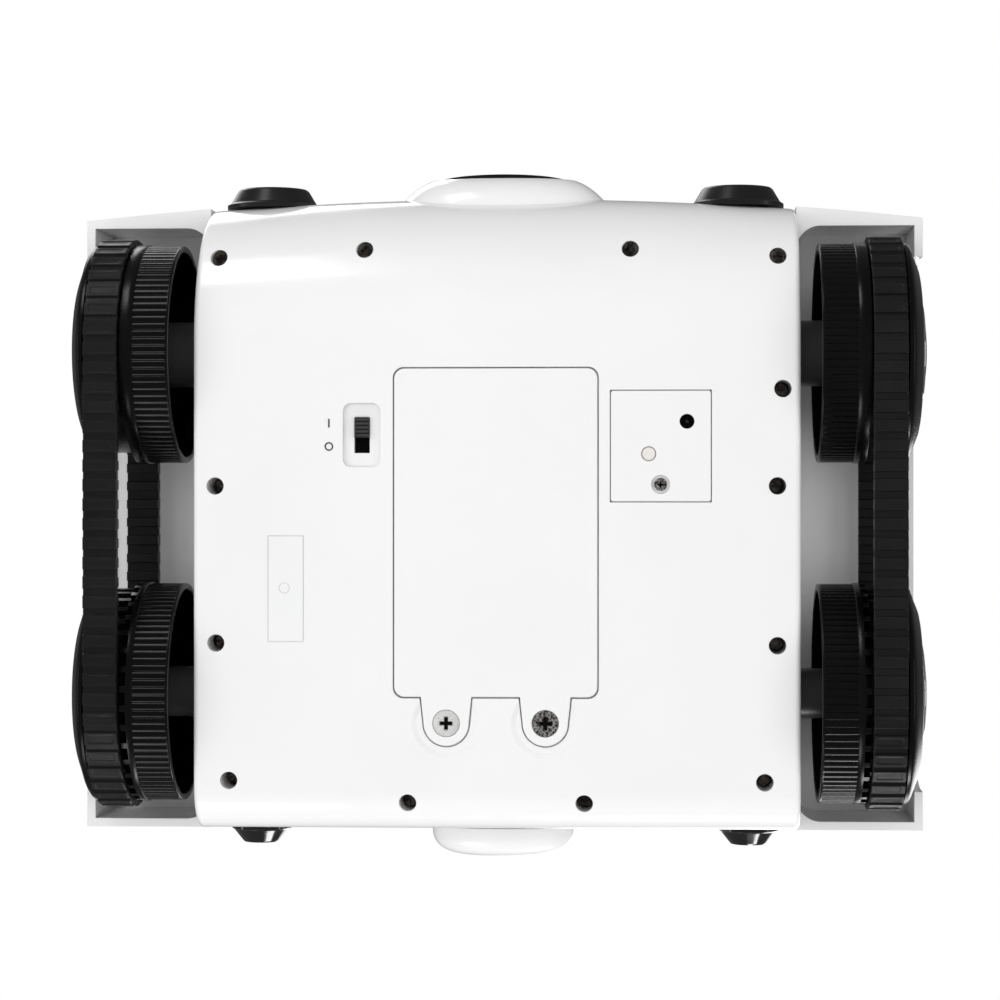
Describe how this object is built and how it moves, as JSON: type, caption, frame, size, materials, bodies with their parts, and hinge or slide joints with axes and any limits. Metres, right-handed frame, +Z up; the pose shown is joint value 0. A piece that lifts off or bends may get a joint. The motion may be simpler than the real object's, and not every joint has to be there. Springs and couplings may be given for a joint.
{
  "type": "tracked camera rover",
  "caption": "Low, wide tracked toy rover with a tilting camera behind a visor, four lamps, belt-driven tracks on drum wheels and a screwed battery hatch underneath.",
  "frame": {"origin": "on the ground plane, under the middle of the overall box", "axes": "+Z up, front towards -Y, +X across the tracks"},
  "size_m": [0.2416, 0.198, 0.104],
  "materials": {
    "white_shell": "glossy white moulded plastic",
    "track_rubber": "satin black rubber",
    "wheel_black": "glossy black moulded plastic",
    "hub_black": "polished black with a bright rim",
    "axle_steel": "drawn steel rod",
    "boss_grey": "dark grey moulded plastic",
    "bezel_black": "satin black plastic",
    "tail_black": "glossy black plastic",
    "lens_clear": "clear moulded lens",
    "lens_red": "red moulded lens",
    "visor_black": "polished black window",
    "camera_black": "satin black plastic",
    "screw_zinc": "zinc-plated steel",
    "screw_dark": "blackened steel",
    "board_green": "solder-masked circuit board",
    "component_black": "moulded electronic parts",
    "knob_black": "ribbed black plastic",
    "button_grey": "warm off-white plastic",
    "gear_nylon": "ivory nylon",
    "gearbox_grey": "grey moulded plastic",
    "motor_steel": "drawn steel can",
    "cell_wrap": "plain wrapped cell",
    "contact_nickel": "nickel-plated spring steel",
    "label_film": "blank plastic label",
    "speaker_black": "paper cone in a pressed basket"
  },
  "bodies": {
    "chassis": {"bottom_hull": "white_shell", "top_shell": "white_shell", "battery_cover": "white_shell", "service_panel": "white_shell", "rear_cap": "white_shell", "track_left": "track_rubber", "track_right": "track_rubber", "front_axle_bosses": "boss_grey", "rear_axle_bosses": "boss_grey", "headlamp_bezel_left": "bezel_black", "headlamp_bezel_right": "bezel_black", "tail_lamp_bezel_left": "tail_black", "tail_lamp_bezel_right": "tail_black", "headlamp_lenses": "lens_clear", "tail_lamp_lenses": "lens_red", "camera_visor": "visor_black", "camera_bracket": "camera_black", "tilt_motor": "camera_black", "battery_cover_screws": "screw_zinc", "service_panel_screw": "screw_zinc", "hull_screws": "screw_dark", "main_board": "board_green", "service_board": "board_green", "board_components": "component_black", "switch_body": "component_black", "dc_jack": "component_black", "gearbox_left": "gearbox_grey", "gearbox_right": "gearbox_grey", "drive_motor_left": "motor_steel", "drive_motor_right": "motor_steel", "battery_cells": "cell_wrap", "battery_contacts": "contact_nickel", "blank_label": "label_film", "speaker": "speaker_black"},
    "drive_wheel_left": {"rear_drum_left": "wheel_black", "rear_disc_left": "wheel_black", "rear_hub_cap_left": "hub_black", "rear_axle_left": "axle_steel", "axle_gear_left": "gear_nylon"},
    "idler_wheel_left": {"front_drum_left": "wheel_black", "front_disc_left": "wheel_black", "front_hub_cap_left": "hub_black", "front_axle_left": "axle_steel"},
    "cluster_left": {"cluster_gear_left": "gear_nylon"},
    "pinion_left": {"motor_pinion_left": "gear_nylon"},
    "drive_wheel_right": {"rear_drum_right": "wheel_black", "rear_disc_right": "wheel_black", "rear_hub_cap_right": "hub_black", "rear_axle_right": "axle_steel", "axle_gear_right": "gear_nylon"},
    "idler_wheel_right": {"front_drum_right": "wheel_black", "front_disc_right": "wheel_black", "front_hub_cap_right": "hub_black", "front_axle_right": "axle_steel"},
    "cluster_right": {"cluster_gear_right": "gear_nylon"},
    "pinion_right": {"motor_pinion_right": "gear_nylon"},
    "power_slider": {"switch_knob": "knob_black"},
    "reset_plunger": {"reset_button": "button_grey"},
    "camera": {"camera_head": "camera_black", "camera_lens": "lens_clear"}
  },
  "joints": [
    {"name": "left_drive", "type": "hinge", "parent": "chassis", "child": "drive_wheel_left", "pos_m": [-0.10855, 0.05062, 0.0329], "axis": [1, 0, 0], "continuous": true, "deforming": ["track_left"]},
    {"name": "left_idler", "type": "hinge", "parent": "chassis", "child": "idler_wheel_left", "pos_m": [-0.10855, -0.04582, 0.0329], "axis": [1, 0, 0], "continuous": true, "deforming": ["track_left"]},
    {"name": "left_cluster", "type": "hinge", "parent": "chassis", "child": "cluster_left", "pos_m": [-0.058, 0.0361, 0.0329], "axis": [1, 0, 0], "continuous": true},
    {"name": "left_pinion", "type": "hinge", "parent": "chassis", "child": "pinion_left", "pos_m": [-0.054, 0.02398, 0.0329], "axis": [1, 0, 0], "continuous": true},
    {"name": "right_drive", "type": "hinge", "parent": "chassis", "child": "drive_wheel_right", "pos_m": [0.10855, 0.05062, 0.0329], "axis": [1, 0, 0], "continuous": true, "deforming": ["track_right"]},
    {"name": "right_idler", "type": "hinge", "parent": "chassis", "child": "idler_wheel_right", "pos_m": [0.10855, -0.04582, 0.0329], "axis": [1, 0, 0], "continuous": true, "deforming": ["track_right"]},
    {"name": "right_cluster", "type": "hinge", "parent": "chassis", "child": "cluster_right", "pos_m": [0.058, 0.0361, 0.0329], "axis": [1, 0, 0], "continuous": true},
    {"name": "right_pinion", "type": "hinge", "parent": "chassis", "child": "pinion_right", "pos_m": [0.054, 0.02398, 0.0329], "axis": [1, 0, 0], "continuous": true},
    {"name": "power_switch", "type": "slide", "parent": "chassis", "child": "power_slider", "axis": [0, 1, 0], "range_m": [0, 0.0042]},
    {"name": "reset_press", "type": "slide", "parent": "chassis", "child": "reset_plunger", "axis": [0, 0, 1], "range_m": [0, 0.0006], "stiffness_N_per_m": 300, "springref_m": -0.001},
    {"name": "camera_tilt", "type": "hinge", "parent": "chassis", "child": "camera", "pos_m": [0, -0.08, 0.056], "axis": [1, 0, 0], "range_deg": [-25, 15]}
  ],
  "couplings": [
    {"joint": "left_idler", "follows": "left_drive", "ratio": 1},
    {"joint": "left_cluster", "follows": "left_drive", "ratio": -3},
    {"joint": "left_pinion", "follows": "left_drive", "ratio": 9},
    {"joint": "right_idler", "follows": "right_drive", "ratio": 1},
    {"joint": "right_cluster", "follows": "right_drive", "ratio": -3},
    {"joint": "right_pinion", "follows": "right_drive", "ratio": 9}
  ]
}
